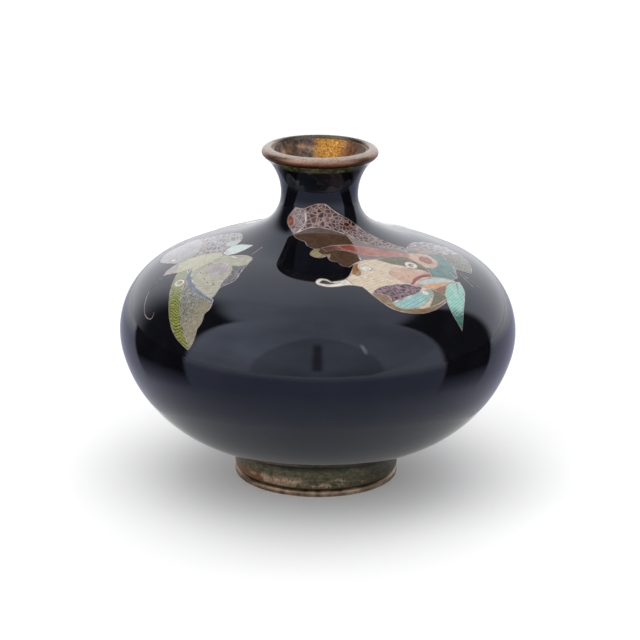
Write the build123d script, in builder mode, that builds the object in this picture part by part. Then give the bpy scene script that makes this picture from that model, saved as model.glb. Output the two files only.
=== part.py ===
from build123d import *
import math
import os

# A cloisonne enamel vase: a raised copper body, enamelled inside and out, on a bronze foot, with
# a bronze lip. The origin is the centre of the flat face it stands on, +Z is up and -Y is the front.

# The outside of the body is a chain of arcs that run into each other without a corner. Each row is
# a radius and a sweep in degrees: a positive radius bulges outwards, a negative one is hollow.
FOOT_HEIGHT = 10.9
FOOT_TOP_RADIUS = 25.0
START_SLOPE = 6.0
BELLY_UNDER = (39.6, 68.5)
BELLY_SIDE = (23.2, 80.0)
SHOULDER = (112.0, 9.5)
SHOULDER_DIP = (-64.0, 11.5)
NECK_ROOT = (-10.8, 57.0)
NECK_FLARE = (-14.7, 55.5)
BODY_ARCS = (BELLY_UNDER, BELLY_SIDE, SHOULDER, SHOULDER_DIP, NECK_ROOT, NECK_FLARE)

# The wall, from the outside in.
ENAMEL_THICKNESS = 1.0
COPPER_THICKNESS = 1.2
COUNTER_ENAMEL_THICKNESS = 0.6
COPPER_OUTSIDE = ENAMEL_THICKNESS
COPPER_INSIDE = COPPER_OUTSIDE + COPPER_THICKNESS
CAVITY_WALL = COPPER_INSIDE + COUNTER_ENAMEL_THICKNESS

BELLY_SEAM_HEIGHT = 46.3
LINING_BOTTOM_HEIGHT = 84.0
LINING_TOP_HEIGHT = 101.3
LIP_BAND_HEIGHT = 97.4
LIP_SEAT_HEIGHT = 99.3
VASE_HEIGHT = 102.2

LIP_OUTER_RADIUS = 17.4
LIP_MOUTH_RADIUS = 14.3
LIP_OUTER_ROUNDING = 1.4
LIP_INNER_ROUNDING = 0.6

FOOT_BOTTOM_RADIUS = 24.5
FOOT_WALL = 1.8
FOOT_BEAD_HEIGHT = 2.2
FOOT_BEAD_RADIUS = 24.8
FOOT_BEAD_INNER_RADIUS = 21.4
FOOT_BEAD_ROUNDING = 0.8

# Each butterfly is drawn flat on a plane through the axis of the vase that leans back by
# DRAWING_TILT, and is carried out along that plane's normal to the enamel.
DRAWING_HEIGHT = 70.3
DRAWING_TILT = 45.0
DRAWING_REACH = 75.0
WIRE_WIDTH = 0.35
FRONT_AZIMUTH = 25.0
LEFT_AZIMUTH = -65.0
BACK_AZIMUTH = 160.0

# An outline is a ring of edges. Each edge is a smooth curve through its points and the last point
# of an edge is the first point of the next.
LACE_FOREWING = (
    ((18.5, -11.3), (13.2, -8.3), (8.8, -4.6), (4.6, -0.8), (0.4, 1.4), (-3.2, 4.1)),
    ((-3.2, 4.1), (-6.6, 5), (-9, 5.5), (-10.4, 6.9)),
    ((-10.4, 6.9), (-11.9, 5.9), (-12.8, 3.3), (-12.7, 0)),
    ((-12.7, 0), (-12.9, -2.4), (-11.3, -5.2)),
    ((-11.3, -5.2), (-11.3, -7.3), (-10, -9)),
    ((-10, -9), (-12.3, -11), (-10.3, -13.2), (-8, -12.9)),
    ((-8, -12.9), (-8.1, -15), (-6.3, -16.2)),
    ((-6.3, -16.2), (-5.9, -18.2), (-4.2, -19.3)),
    ((-4.2, -19.3), (0.5, -17.2), (5, -17), (11.5, -16.3), (17.5, -16.8)),
    ((17.5, -16.8), (18.5, -11.3)),
)
LACE_SMALL_WING = (
    ((28.3, -28.6), (28.3, -31), (25.5, -37.5), (22.8, -43), (21.3, -46.6)),
    ((21.3, -46.6), (19.3, -40), (20.3, -34), (23.5, -29.9), (28.3, -28.6)),
)
LACE_HINDWING = (
    ((15, -14), (5, -14), (-1, -17), (-5, -22), (-8.5, -24.5), (-12.2, -24.5)),
    ((-12.2, -24.5), (-13, -23), (-15.4, -22.4), (-16.5, -23.6), (-14.6, -26), (-8, -27), (-4.5, -28.5)),
    ((-4.5, -28.5), (-3, -32.5), (0, -38), (6, -40.8), (13, -40.3), (21, -35.8)),
    ((21, -35.8), (24, -32), (27, -28.2)),
    ((27, -28.2), (23.5, -27), (19.5, -26.6)),
    ((19.5, -26.6), (20, -22.5), (18, -19), (15, -14)),
)
LACE_BODY = (
    ((15, -13.2), (19, -12.9), (23, -14.6), (28.8, -14.3)),
    ((28.8, -14.3), (31, -18), (30.3, -23), (28.9, -26.6)),
    ((28.9, -26.6), (25.5, -27.9), (20, -27.8)),
    ((20, -27.8), (15, -20), (15, -13.2)),
)
LACE_FAR_WINGS = (
    ((15.5, -13), (18.3, -12.2), (22.5, -9), (30.5, -7), (37, -8.7), (40, -13)),
    ((40, -13), (39, -19), (36, -23.6)),
    ((36, -23.6), (32, -22.6), (28.5, -19.5)),
    ((28.5, -19.5), (22, -17), (15.5, -13)),
)
LACE_FEELERS = (
    ((30.6, -23.7), (31.4, -26.2), (32.7, -30.4)),
    ((31.4, -24), (33, -26.4), (35.2, -30.1)),
    ((29.4, -23.2), (29.5, -24.8), (29.9, -26.4)),
    ((27.6, -24.1), (27.8, -25.8), (28.3, -27.5)),
)

LEAF_FOREWING = (
    ((-1, -34), (3, -37.5), (12, -44.5), (20, -49.3), (25.8, -50)),
    ((25.8, -50), (26.5, -47), (25.5, -43.8)),
    ((25.5, -43.8), (25.5, -41.4), (24.3, -39.2)),
    ((24.3, -39.2), (24.2, -36.8), (22.3, -34.3)),
    ((22.3, -34.3), (14, -34.5), (8, -33.2), (1, -30)),
    ((1, -30), (-1, -34)),
)
LEAF_BODY = (
    ((2, -19), (-2.5, -22.5), (-7.6, -30.5), (-7, -35.3), (-5, -37.2)),
    ((-5, -37.2), (-3.4, -35.4), (2.5, -32.5)),
    ((2.5, -32.5), (3.6, -26), (2, -19)),
)
LEAF_ABDOMEN = (
    ((1.2, -20.8), (-1.3, -17), (1, -14.7), (4.5, -13.2)),
    ((4.5, -13.2), (5, -17), (4, -20), (1.2, -20.8)),
)
LEAF_HINDWING = (
    ((1, -28), (3, -36), (21.4, -35.3)),
    ((21.4, -35.3), (21, -33), (19, -29.8), (19.4, -27), (17, -23), (13.8, -19)),
    ((13.8, -19), (12, -17), (9, -17), (5, -19.8), (1, -22)),
    ((1, -22), (0, -25), (1, -28)),
)
LEAF_FAR_WINGS = (
    ((0.5, -18), (-3, -13.5), (-9, -12), (-17, -15), (-25, -22)),
    ((-25, -22), (-26, -28), (-18, -34)),
    ((-18, -34), (-11, -32.6), (-4, -29.5)),
    ((-4, -29.5), (0, -23), (0.5, -18)),
)
LEAF_FEELERS = (
    ((-4.4, -38), (-4, -43), (-1.2, -47), (4, -50), (6.8, -49.2), (6.4, -47.6)),
    ((8, -12), (9.4, -16.2)),
)

# The cells of a butterfly, in the order that they are laid. A cell ends where an earlier one lies.
LACE_BUTTERFLY = {
    "forewing": (LACE_FOREWING,),
    "small_wing": (LACE_SMALL_WING,),
    "hindwing": (LACE_HINDWING,),
    "body": (LACE_BODY,),
    "far_wings": (LACE_FAR_WINGS,),
}
LEAF_BUTTERFLY = {
    "forewing": (LEAF_FOREWING,),
    "body": (LEAF_BODY, LEAF_ABDOMEN),
    "hindwing": (LEAF_HINDWING,),
    "far_wings": (LEAF_FAR_WINGS,),
}
BUTTERFLIES = {
    "front_butterfly": (FRONT_AZIMUTH, LACE_BUTTERFLY, LACE_FEELERS),
    "left_butterfly": (LEFT_AZIMUTH, LEAF_BUTTERFLY, LEAF_FEELERS),
    "back_butterfly": (BACK_AZIMUTH, LACE_BUTTERFLY, LACE_FEELERS),
}


def export(piece, node):
    """Label a finished piece and write it to its own STEP file."""
    piece.label = node
    export_step(piece, f"parts/{node}.step")


def wall_start(depth):
    """The bottom of the wall at this depth under the outside of the enamel, as (radius, height)."""
    slope = math.radians(START_SLOPE)
    return FOOT_TOP_RADIUS - depth * math.sin(slope), FOOT_HEIGHT + depth * math.cos(slope)


def wall_line(depth):
    """Draw the body's profile at this depth in the current BuildLine, and return its last arc."""
    at = wall_start(depth)
    slope = math.radians(START_SLOPE)
    heading = (math.cos(slope), math.sin(slope))
    for radius, sweep in BODY_ARCS:
        turn = math.copysign(sweep, radius)
        arc = JernArc(start=at, tangent=heading, radius=abs(radius - depth), arc_size=turn)
        at = arc @ 1
        heading = arc % 1
    return arc


def wall_layer(outside, inside, closed_bottom):
    """Revolve the wall between two depths, with a flat bottom to the axis if it is closed."""
    with BuildPart() as layer:
        with BuildSketch(Plane.XZ):
            with BuildLine():
                outer_top = wall_line(outside) @ 1
                inner_top = wall_line(inside) @ 1
                Line(outer_top, inner_top)
                if closed_bottom:
                    Polyline(wall_start(outside), (0, wall_start(outside)[1]),
                             (0, wall_start(inside)[1]), wall_start(inside))
                else:
                    Line(wall_start(outside), wall_start(inside))
            make_face()
        revolve(axis=Axis.Z)
    return layer.part


def cut_below(piece, height):
    """The part of a piece that lies under a height."""
    with BuildPart() as kept:
        add(piece)
        split(bisect_by=Plane.XY.offset(height), keep=Keep.BOTTOM)
    return kept.part


def cut_above(piece, height):
    """The part of a piece that lies over a height."""
    with BuildPart() as kept:
        add(piece)
        split(bisect_by=Plane.XY.offset(height), keep=Keep.TOP)
    return kept.part


def make_copper_body():
    """The two raised copper halves, brazed at the belly."""
    copper = cut_below(wall_layer(COPPER_OUTSIDE, COPPER_INSIDE, True), LIP_SEAT_HEIGHT)
    export(cut_below(copper, BELLY_SEAM_HEIGHT), "copper_bowl")
    export(cut_above(copper, BELLY_SEAM_HEIGHT), "copper_shoulder")


def make_mouth():
    """The counter-enamel in the belly, the gilt lining of the neck, and the bronze ring that covers
    the top edge of the body and holds the flared end of the lining."""
    inner_skin = cut_below(wall_layer(COPPER_INSIDE, CAVITY_WALL, True), LIP_SEAT_HEIGHT)
    export(cut_below(inner_skin, LINING_BOTTOM_HEIGHT), "inner_counter_enamel")

    top_edges = inner_skin.edges().filter_by(GeomType.CIRCLE).group_by(Axis.Z)[-1]
    throat_radius, seat_radius = sorted(edge.radius for edge in top_edges)
    lining_thickness = seat_radius - throat_radius
    with BuildPart() as neck_lining:
        add(cut_above(inner_skin, LINING_BOTTOM_HEIGHT))
        with BuildSketch(Plane.XZ):
            with BuildLine():
                Polyline((throat_radius, LIP_SEAT_HEIGHT), (seat_radius, LIP_SEAT_HEIGHT),
                         (LIP_MOUTH_RADIUS, LINING_TOP_HEIGHT),
                         (LIP_MOUTH_RADIUS - lining_thickness, LINING_TOP_HEIGHT),
                         (throat_radius, LIP_SEAT_HEIGHT))
            make_face()
        revolve(axis=Axis.Z)
    export(neck_lining.part, "neck_lining")

    with BuildPart() as lip_ring:
        with BuildSketch(Plane.XZ):
            with BuildLine():
                Polyline((seat_radius, LIP_SEAT_HEIGHT), (LIP_OUTER_RADIUS, LIP_SEAT_HEIGHT),
                         (LIP_OUTER_RADIUS, VASE_HEIGHT), (LIP_MOUTH_RADIUS, VASE_HEIGHT),
                         (LIP_MOUTH_RADIUS, LINING_TOP_HEIGHT), (seat_radius, LIP_SEAT_HEIGHT))
            make_face()
        revolve(axis=Axis.Z)
        top_edges = lip_ring.edges().filter_by(GeomType.CIRCLE).group_by(Axis.Z)[-1]
        inner_edge, outer_edge = top_edges.sort_by(SortBy.RADIUS)
        fillet(outer_edge, radius=LIP_OUTER_ROUNDING)
        fillet(inner_edge, radius=LIP_INNER_ROUNDING)
    export(lip_ring.part, "lip_ring")


def make_foot():
    """The bronze foot: an upright ring under the body, the bead it stands on, and the enamel
    that covers the copper inside the ring."""
    top_outer = wall_start(0)
    top_shoulder = wall_start(COPPER_OUTSIDE)
    inner_radius = FOOT_BOTTOM_RADIUS - FOOT_WALL
    with BuildPart() as foot_ring:
        with BuildSketch(Plane.XZ):
            with BuildLine():
                Polyline((inner_radius, FOOT_BEAD_HEIGHT), (FOOT_BOTTOM_RADIUS, FOOT_BEAD_HEIGHT),
                         top_outer, top_shoulder, (inner_radius, top_shoulder[1]),
                         (inner_radius, FOOT_BEAD_HEIGHT))
            make_face()
        revolve(axis=Axis.Z)
    export(foot_ring.part, "foot_ring")

    with BuildPart() as foot_bead:
        with BuildSketch():
            Circle(FOOT_BEAD_RADIUS)
            Circle(FOOT_BEAD_INNER_RADIUS, mode=Mode.SUBTRACT)
        extrude(amount=FOOT_BEAD_HEIGHT)
        outer_edges = foot_bead.edges().filter_by(GeomType.CIRCLE).group_by(SortBy.LENGTH)[-1]
        fillet(outer_edges, radius=FOOT_BEAD_ROUNDING)
    export(foot_bead.part, "foot_bead")

    with BuildPart() as base_counter_enamel:
        with BuildSketch(Plane.XY.offset(top_shoulder[1] - COUNTER_ENAMEL_THICKNESS)):
            Circle(inner_radius)
        extrude(amount=COUNTER_ENAMEL_THICKNESS)
    export(base_counter_enamel.part, "base_counter_enamel")


def drawing_plane(azimuth):
    """The plane that a butterfly is drawn on, with its normal towards the viewer it faces."""
    turn = math.radians(azimuth)
    tilt = math.radians(DRAWING_TILT)
    return Plane(
        origin=(0, 0, DRAWING_HEIGHT),
        x_dir=(math.cos(turn), math.sin(turn), 0),
        z_dir=(math.sin(turn) * math.cos(tilt), -math.cos(turn) * math.cos(tilt), math.sin(tilt)),
    )


def curves(edges):
    """The smooth curves or straight lines through each list of points."""
    with BuildLine() as drawing:
        for points in edges:
            if len(points) == 2:
                Line(*points)
            else:
                Spline(*points)
    return drawing.edges()


def cell_area(outlines):
    """The flat areas inside a cell's outlines."""
    with BuildSketch() as area:
        for outline in outlines:
            make_face(curves(outline))
    return area.sketch


def flat_wire(outlines):
    """The thin strips of silver wire that stand along outlines, or along open curves."""
    with BuildSketch() as strips:
        for outline in outlines:
            trace(curves(outline), line_width=WIRE_WIDTH)
    return strips.sketch


def carry_to_enamel(flat, azimuth, enamel):
    """The enamel that lies in front of a flat drawing."""
    with BuildPart() as piece:
        add(enamel)
        with BuildSketch(drawing_plane(azimuth)):
            add(flat)
        extrude(amount=DRAWING_REACH, mode=Mode.INTERSECT)
    return piece.part


def make_butterfly(name, azimuth, cells, feelers, enamel):
    """Write the enamel cells and the silver wires of one butterfly, and return what they fill."""
    wires = flat_wire([(feeler,) for feeler in feelers])
    laid = wires
    for cell_name, outlines in cells.items():
        strips = flat_wire(outlines) - laid
        area = cell_area(outlines) - laid - strips
        export(carry_to_enamel(area, azimuth, enamel), f"{name}_{cell_name}")
        wires = wires + strips
        laid = laid + strips + area
    export(carry_to_enamel(wires, azimuth, enamel), f"{name}_wires")
    return carry_to_enamel(laid, azimuth, enamel)


def make_enamel():
    """The midnight-blue ground, the green band under the lip, and the butterflies set in them."""
    enamel = cut_below(wall_layer(0, ENAMEL_THICKNESS, False), LIP_SEAT_HEIGHT)
    export(cut_above(enamel, LIP_BAND_HEIGHT), "lip_band")
    ground = cut_below(enamel, LIP_BAND_HEIGHT)
    inlays = [make_butterfly(name, *design, ground) for name, design in BUTTERFLIES.items()]
    with BuildPart() as ground_enamel:
        add(ground)
        for inlay in inlays:
            add(inlay, mode=Mode.SUBTRACT)
    export(ground_enamel.part, "ground_enamel")


os.makedirs("parts", exist_ok=True)
make_copper_body()
make_mouth()
make_foot()
make_enamel()
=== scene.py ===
import math
import bpy
import numpy as np
from mathutils import Matrix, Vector
from mathutils.geometry import delaunay_2d_cdt


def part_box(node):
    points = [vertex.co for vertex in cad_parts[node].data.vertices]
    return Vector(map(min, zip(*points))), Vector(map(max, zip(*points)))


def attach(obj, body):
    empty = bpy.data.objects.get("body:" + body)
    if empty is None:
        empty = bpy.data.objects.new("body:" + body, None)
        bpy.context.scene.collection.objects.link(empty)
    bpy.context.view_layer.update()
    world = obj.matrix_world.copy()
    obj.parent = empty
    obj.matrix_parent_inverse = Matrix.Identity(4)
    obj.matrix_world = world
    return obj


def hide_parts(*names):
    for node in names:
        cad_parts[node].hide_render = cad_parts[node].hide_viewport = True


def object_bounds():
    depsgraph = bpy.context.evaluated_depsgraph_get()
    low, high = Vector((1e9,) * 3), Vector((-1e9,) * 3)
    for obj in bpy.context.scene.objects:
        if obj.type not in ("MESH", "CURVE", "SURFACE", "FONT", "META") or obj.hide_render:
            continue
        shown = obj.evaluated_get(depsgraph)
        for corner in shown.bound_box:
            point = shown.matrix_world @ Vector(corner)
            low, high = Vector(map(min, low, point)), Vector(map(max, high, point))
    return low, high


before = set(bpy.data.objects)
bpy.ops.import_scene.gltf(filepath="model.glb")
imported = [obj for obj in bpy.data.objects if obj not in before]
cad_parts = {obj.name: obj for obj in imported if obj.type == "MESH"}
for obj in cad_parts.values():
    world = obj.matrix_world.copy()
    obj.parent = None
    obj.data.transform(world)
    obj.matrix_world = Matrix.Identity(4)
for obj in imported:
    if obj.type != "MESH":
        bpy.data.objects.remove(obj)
cad_low, cad_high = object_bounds()

# Drawing units are millimetres, as in the CAD. Meshes are made in metres.
MM = 0.001

# The body's profile: the same arcs as the CAD, as (radius, sweep in degrees). Negative is hollow.
FOOT_HEIGHT = 10.9
FOOT_TOP_RADIUS = 25.0
START_SLOPE = 6.0
BODY_ARCS = ((39.6, 68.5), (23.2, 80.0), (112.0, 9.5), (-64.0, 11.5), (-10.8, 57.0), (-14.7, 55.5))
ENAMEL_THICKNESS = 1.0
LINING_DEPTHS = (2.2, 2.8)
LINING_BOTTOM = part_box("neck_lining")[0][2] / MM
LINING_TOP = 101.3
LINING_SEAT_RADIUS = 13.5
LIP_BAND_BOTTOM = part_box("lip_band")[0][2] / MM
LIP_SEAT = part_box("lip_ring")[0][2] / MM
VASE_HEIGHT = cad_high[2] / MM
LIP_MOUTH_RADIUS = 14.3
FOOT_RING_BOTTOM, FOOT_RING_TOP = (corner[2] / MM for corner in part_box("foot_ring"))
FOOT_RING_HOLE = 22.7

LATHE_SEGMENTS = 300
ROW_STEP = 0.6


def wall_profile(depth, step):
    """Points down the body's wall at this depth under the enamel's outside: radius, height, slope."""
    slope = math.radians(START_SLOPE)
    radius = FOOT_TOP_RADIUS - depth * math.sin(slope)
    height = FOOT_HEIGHT + depth * math.cos(slope)
    rows = [(radius, height, slope)]
    for arc_radius, sweep in BODY_ARCS:
        bend = arc_radius - depth
        centre_r = radius - bend * math.sin(slope)
        centre_z = height + bend * math.cos(slope)
        turn = math.copysign(math.radians(sweep), arc_radius)
        count = max(2, math.ceil(abs(bend * turn) / step))
        for part in range(1, count + 1):
            angle = slope + turn * part / count
            rows.append((centre_r + bend * math.sin(angle), centre_z - bend * math.cos(angle), angle))
        radius, height, slope = rows[-1]
    return np.array(rows)


def wall_between(depth, low, high, step):
    """The wall profile between two heights, cut exactly at both."""
    rows = wall_profile(depth, step)
    low = max(low, rows[0, 1])
    high = min(high, rows[-1, 1])
    heights = np.r_[low, rows[(rows[:, 1] > low) & (rows[:, 1] < high), 1], high]
    fine = wall_profile(depth, 0.02)
    return np.column_stack([np.interp(heights, fine[:, 1], fine[:, 0]), heights,
                            np.interp(heights, fine[:, 1], fine[:, 2])])


OUTSIDE = wall_profile(0.0, 0.02)


def outside_radius(height):
    """The radius of the enamel's outside at a height, or 0 above and below the body."""
    return np.interp(height, OUTSIDE[:, 1], OUTSIDE[:, 0], left=0.0, right=0.0)


# Meshes


def add_object(name, data):
    made = bpy.data.objects.new(name, data)
    bpy.context.scene.collection.objects.link(made)
    return made


def make_piece(name, points, faces, node, materials, normals=None, face_materials=None):
    """A mesh from points in millimetres that stands for a CAD node."""
    mesh = bpy.data.meshes.new(name)
    mesh.from_pydata((np.asarray(points) * MM).tolist(), [], faces)
    mesh.update()
    for material in materials:
        mesh.materials.append(material)
    mesh.shade_smooth()
    if face_materials is not None:
        mesh.polygons.foreach_set("material_index", face_materials)
    if normals is not None:
        mesh.normals_split_custom_set_from_vertices(np.asarray(normals).tolist())
    piece = add_object(name, mesh)
    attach(piece, "root")
    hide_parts(node)
    return piece


def lathe(node, section, material):
    """Turn a closed section of (radius, height) points about the axis of the vase."""
    section = np.asarray(section)
    rows = len(section)
    turns = np.linspace(0, 2 * math.pi, LATHE_SEGMENTS, endpoint=False)
    radius = section[:, 0][None, :]
    height = np.broadcast_to(section[:, 1], (LATHE_SEGMENTS, rows))
    points = np.stack([radius * np.sin(turns)[:, None], -radius * np.cos(turns)[:, None], height], -1)
    faces = []
    for turn in range(LATHE_SEGMENTS):
        here = turn * rows
        there = (turn + 1) % LATHE_SEGMENTS * rows
        for row in range(rows):
            after = (row + 1) % rows
            faces.append((here + row, there + row, there + after, here + after))
    piece = make_piece(f"{node}_piece", points.reshape(-1, 3), faces, node, [material])
    piece.data.set_sharp_from_angle(angle=math.radians(40))
    return piece


def natural_curve(knots, step):
    """Points along a smooth curve through the knots. Two knots make a straight line."""
    knots = np.asarray(knots, float)
    along = np.r_[0, np.cumsum(np.linalg.norm(np.diff(knots, axis=0), axis=1))]
    gaps = np.diff(along)
    count = len(knots)
    system = np.eye(count)
    load = np.zeros((count, 2))
    for knot in range(1, count - 1):
        before, after = gaps[knot - 1], gaps[knot]
        system[knot, knot - 1:knot + 2] = before, 2 * (before + after), after
        load[knot] = 3 * ((knots[knot + 1] - knots[knot]) / after
                          - (knots[knot] - knots[knot - 1]) / before)
    bend = np.linalg.solve(system, load)
    places = np.linspace(0, along[-1], max(2, math.ceil(along[-1] / step) + 1))
    span = np.clip(np.searchsorted(along, places, side="right") - 1, 0, count - 2)
    local = (places - along[span])[:, None]
    gap = gaps[span][:, None]
    slope = (knots[span + 1] - knots[span]) / gap - gap * (2 * bend[span] + bend[span + 1]) / 3
    cubic = (bend[span + 1] - bend[span]) / (3 * gap)
    return knots[span] + slope * local + bend[span] * local ** 2 + cubic * local ** 3


def ellipse(u, w, half_width, half_height):
    """An outline of one edge, round a centre."""
    turns = np.linspace(0, 2 * math.pi, 17)[1:]
    return (tuple((u + half_width * math.cos(t), w + half_height * math.sin(t)) for t in turns),)


def ring_of(outline, step):
    """The closed polygon of an outline."""
    start = outline[-1][-1]
    sides = []
    for edge in outline:
        sides.append(natural_curve((start, *edge), step)[:-1])
        start = edge[-1]
    return np.vstack(sides)


def inside(points, ring):
    """Which of the points lie inside a closed polygon."""
    found = np.zeros(len(points), bool)
    for start, end in zip(ring, np.roll(ring, -1, axis=0)):
        crosses = (start[1] > points[:, 1]) != (end[1] > points[:, 1])
        if crosses.any():
            reach = (end[0] - start[0]) * (points[:, 1] - start[1]) / (end[1] - start[1]) + start[0]
            found ^= crosses & (points[:, 0] < reach)
    return found


# Butterfly drawings: the same outlines as the CAD, then the coloured fields inside each cell.
# An outline is a ring of edges. An edge is a smooth curve that starts where the edge before it ends,
# and lists only the points after that. Each butterfly lies on its own drawing plane, facing an azimuth.

DRAWING_HEIGHT = 70.3
DRAWING_TILT = math.radians(45.0)
DRAWING_REACH = 75.0
DRAWING_STEP = 0.35
GRID_STEP = 0.55
WIRE_WIDTH = 0.25
# How far the inlays stand proud of the ground enamel, and the middle of a wire above its inlay.
INLAY_LIFT = 0.02
WIRE_LIFT = 0.05

LACE_CELLS = {
    "forewing": [
        (((13.2, -8.3), (8.8, -4.6), (4.6, -0.8), (0.4, 1.4), (-3.2, 4.1)), ((-6.6, 5), (-9, 5.5),
         (-10.4, 6.9)), ((-11.9, 5.9), (-12.8, 3.3), (-12.7, 0)), ((-12.9, -2.4), (-11.3, -5.2)),
         ((-11.3, -7.3), (-10, -9)), ((-12.3, -11), (-10.3, -13.2), (-8, -12.9)), ((-8.1, -15),
         (-6.3, -16.2)), ((-5.9, -18.2), (-4.2, -19.3)), ((0.5, -17.2), (5, -17), (11.5, -16.3),
         (17.5, -16.8)), ((18.5, -11.3),)),
    ],
    "small_wing": [
        (((28.3, -31), (25.5, -37.5), (22.8, -43), (21.3, -46.6)), ((19.3, -40), (20.3, -34),
         (23.5, -29.9), (28.3, -28.6))),
    ],
    "hindwing": [
        (((5, -14), (-1, -17), (-5, -22), (-8.5, -24.5), (-12.2, -24.5)), ((-13, -23), (-15.4, -22.4),
         (-16.5, -23.6), (-14.6, -26), (-8, -27), (-4.5, -28.5)), ((-3, -32.5), (0, -38), (6, -40.8),
         (13, -40.3), (21, -35.8)), ((24, -32), (27, -28.2)), ((23.5, -27), (19.5, -26.6)), ((20, -22.5),
         (18, -19), (15, -14))),
    ],
    "body": [
        (((19, -12.9), (23, -14.6), (28.8, -14.3)), ((31, -18), (30.3, -23), (28.9, -26.6)),
         ((25.5, -27.9), (20, -27.8)), ((15, -20), (15, -13.2))),
    ],
    "far_wings": [
        (((18.3, -12.2), (22.5, -9), (30.5, -7), (37, -8.7), (40, -13)), ((39, -19), (36, -23.6)),
         ((32, -22.6), (28.5, -19.5)), ((22, -17), (15.5, -13))),
    ],
}
LACE_FIELDS = {
    "forewing": ("brown_lace", [
        ("pale_lace", (((-8.8, 5.4), (-8.6, 2.6), (-10, 0.2), (-14, -1)), ((-15, 5), (-10.8, 8.5)))),
        ("rust", ellipse(-12.2, 4.2, 1.0, 1.9)),
        ("plain_brown", (((-8, -0.8), (-4, -2.4), (1.3, -5.3)), ((2, -10), (1, -15), (0.5, -21)),
            ((-15, -21),), ((-15, -1.6),))),
        ("grey_rose", (((6, -9.3), (12, -11.8), (19.5, -14)), ((19, -20),), ((0.5, -20),), ((1.2, -15),
            (2, -10), (1.3, -5.3)))),
        ("salmon", (((-4, -9.1), (2, -10.3), (10, -12.8), (19, -15.4)), ((18.5, -18),), ((10, -16.1),
            (3, -14.6), (0.3, -13.4), (-2.5, -11.6), (-7.4, -10.9)), ((-8.2, -9.2),))),
        ("red", (((2, -10.6), (1.7, -13.6)), ((0.3, -12.4), (-1.5, -11.6), (-3, -9.6)))),
        ("straw", (((-9.6, -10.6), (-9.2, -11.7), (-6.8, -12.4)), ((-9, -15), (-14, -13), (-13, -8.5)),
            ((-8.6, -9.4),))),
    ]),
    "small_wing": ("mint", [
        ("ink", (((24.8, -34.8),), ((26.7, -29.2),), ((27.2, -29.3),))),
        ("dark_mint", (((21.2, -42), (24.2, -40.6)), ((22, -48),), ((18.8, -41),))),
    ]),
    "hindwing": ("cream", [
        ("ivory", (((-9, -21.4),), ((-7.6, -24.4), (-6.6, -27.8)), ((-17, -28),), ((-18, -21),))),
        ("midnight", (((-14.2, -23.2), (-12.6, -24.6), (-9.6, -25.3)), ((-13, -25.4), (-15.8, -23.9)))),
        ("bronze", (((-2.4, -18.4), (-0.7, -18.2)), ((-1.9, -21), (-2, -22.6), (-3.7, -23.9)),
            ((-5.2, -21.8),))),
        ("ivory", ellipse(0.4, -20.9, 1.8, 1.2)),
        ("olive", (((8.5, -19.2), (13, -21.3), (21, -25)), ((21, -15), (12, -14)), ((4.5, -16.2),))),
        ("ivory", ellipse(15.4, -20.8, 1.95, 1.6)),
        ("grey_rose", ellipse(15.5, -20.8, 0.95, 0.75)),
        ("ivory", ellipse(15.8, -20.9, 0.35, 0.3)),
        ("pink", (((8, -22.3), (13, -22.2), (21, -25)), ((20, -27),), ((15.5, -26.4), (11.5, -29.2)),
            ((8, -27.8), (6.2, -24.2)))),
        ("crimson", (((13, -27), (15.6, -25.7), (20, -25.1)), ((20, -26.4),), ((16, -26.9), (13.8, -28),
            (11.5, -30)), ((10.6, -29.4),))),
        ("purple_net", (((-0.5, -30), (4, -29.2), (9, -29.3), (11.6, -30.1), (13.6, -31.2)),
            ((11.5, -33.1), (8, -34.2), (4, -35.4), (1.3, -36.2)), ((1.5, -34.4), (-0.2, -32.6),
            (-3, -31.8)))),
        ("ochre", (((-0.2, -32.5), (1.6, -34.4), (1.2, -36.4)), ((-1, -40), (-6, -34), (-4, -31.2)))),
        ("turquoise", (((4.5, -35.5), (9, -34), (12, -32.9), (15.7, -31.6)), ((16.3, -33), (14, -36),
            (10.5, -38.2), (6, -39.2), (3, -38.6), (1.2, -36.4)))),
        ("ivory", ellipse(13.6, -33.5, 1.1, 0.8)),
        ("olive", (((21, -35.3),), ((17, -37.5), (12.5, -39)), ((14.8, -36), (16.3, -33),
            (15.7, -31.6)))),
        ("ochre", (((3, -38.6), (6, -39.2), (12.5, -39), (17, -37.5), (21, -35.3)), ((23, -38), (10, -44),
            (-3, -41), (-3, -36)), ((1.2, -36.4),))),
        ("orange", (((16, -29.9), (24, -29)), ((22, -31),), ((18.3, -31.9), (15.2, -31.5), (13, -30.4)))),
        ("brown", (((23, -30.2),), ((22, -36.5),), ((17, -32),))),
        ("pale_mint", (((15, -28), (19.5, -27.1), (28, -27)), ((28, -28.7),), ((23, -29.2),
            (13.6, -30.2)), ((12.6, -29.1),))),
        ("pink", (((12, -29.4), (12.6, -29.1)), ((13.6, -30.2),), ((12.4, -30.4), (11.3, -29.9)))),
    ]),
    "body": ("teal", [
        ("pink", (((20, -14.6), (24.8, -15.6), (26, -18), (25, -20.8), (22, -22.3)), ((17, -21),
            (17, -14.6)))),
        ("rust", ellipse(22.3, -18.2, 2.3, 1.9)),
    ]),
    "far_wings": ("far_lace", [
        ("far_rose", (((20, -11.6), (27, -11.4), (31, -15)), ((28, -22),), ((15, -13),))),
        ("far_olive", (((35, -13.4), (41, -14)), ((38, -25), (30, -22)), ((31, -15),))),
    ]),
}
LACE_FEELERS = (
    ((30.6, -23.7), (31.4, -26.2), (32.7, -30.4)),
    ((31.4, -24), (33, -26.4), (35.2, -30.1)),
    ((29.4, -23.2), (29.5, -24.8), (29.9, -26.4)),
    ((27.6, -24.1), (27.8, -25.8), (28.3, -27.5)),
)

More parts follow.
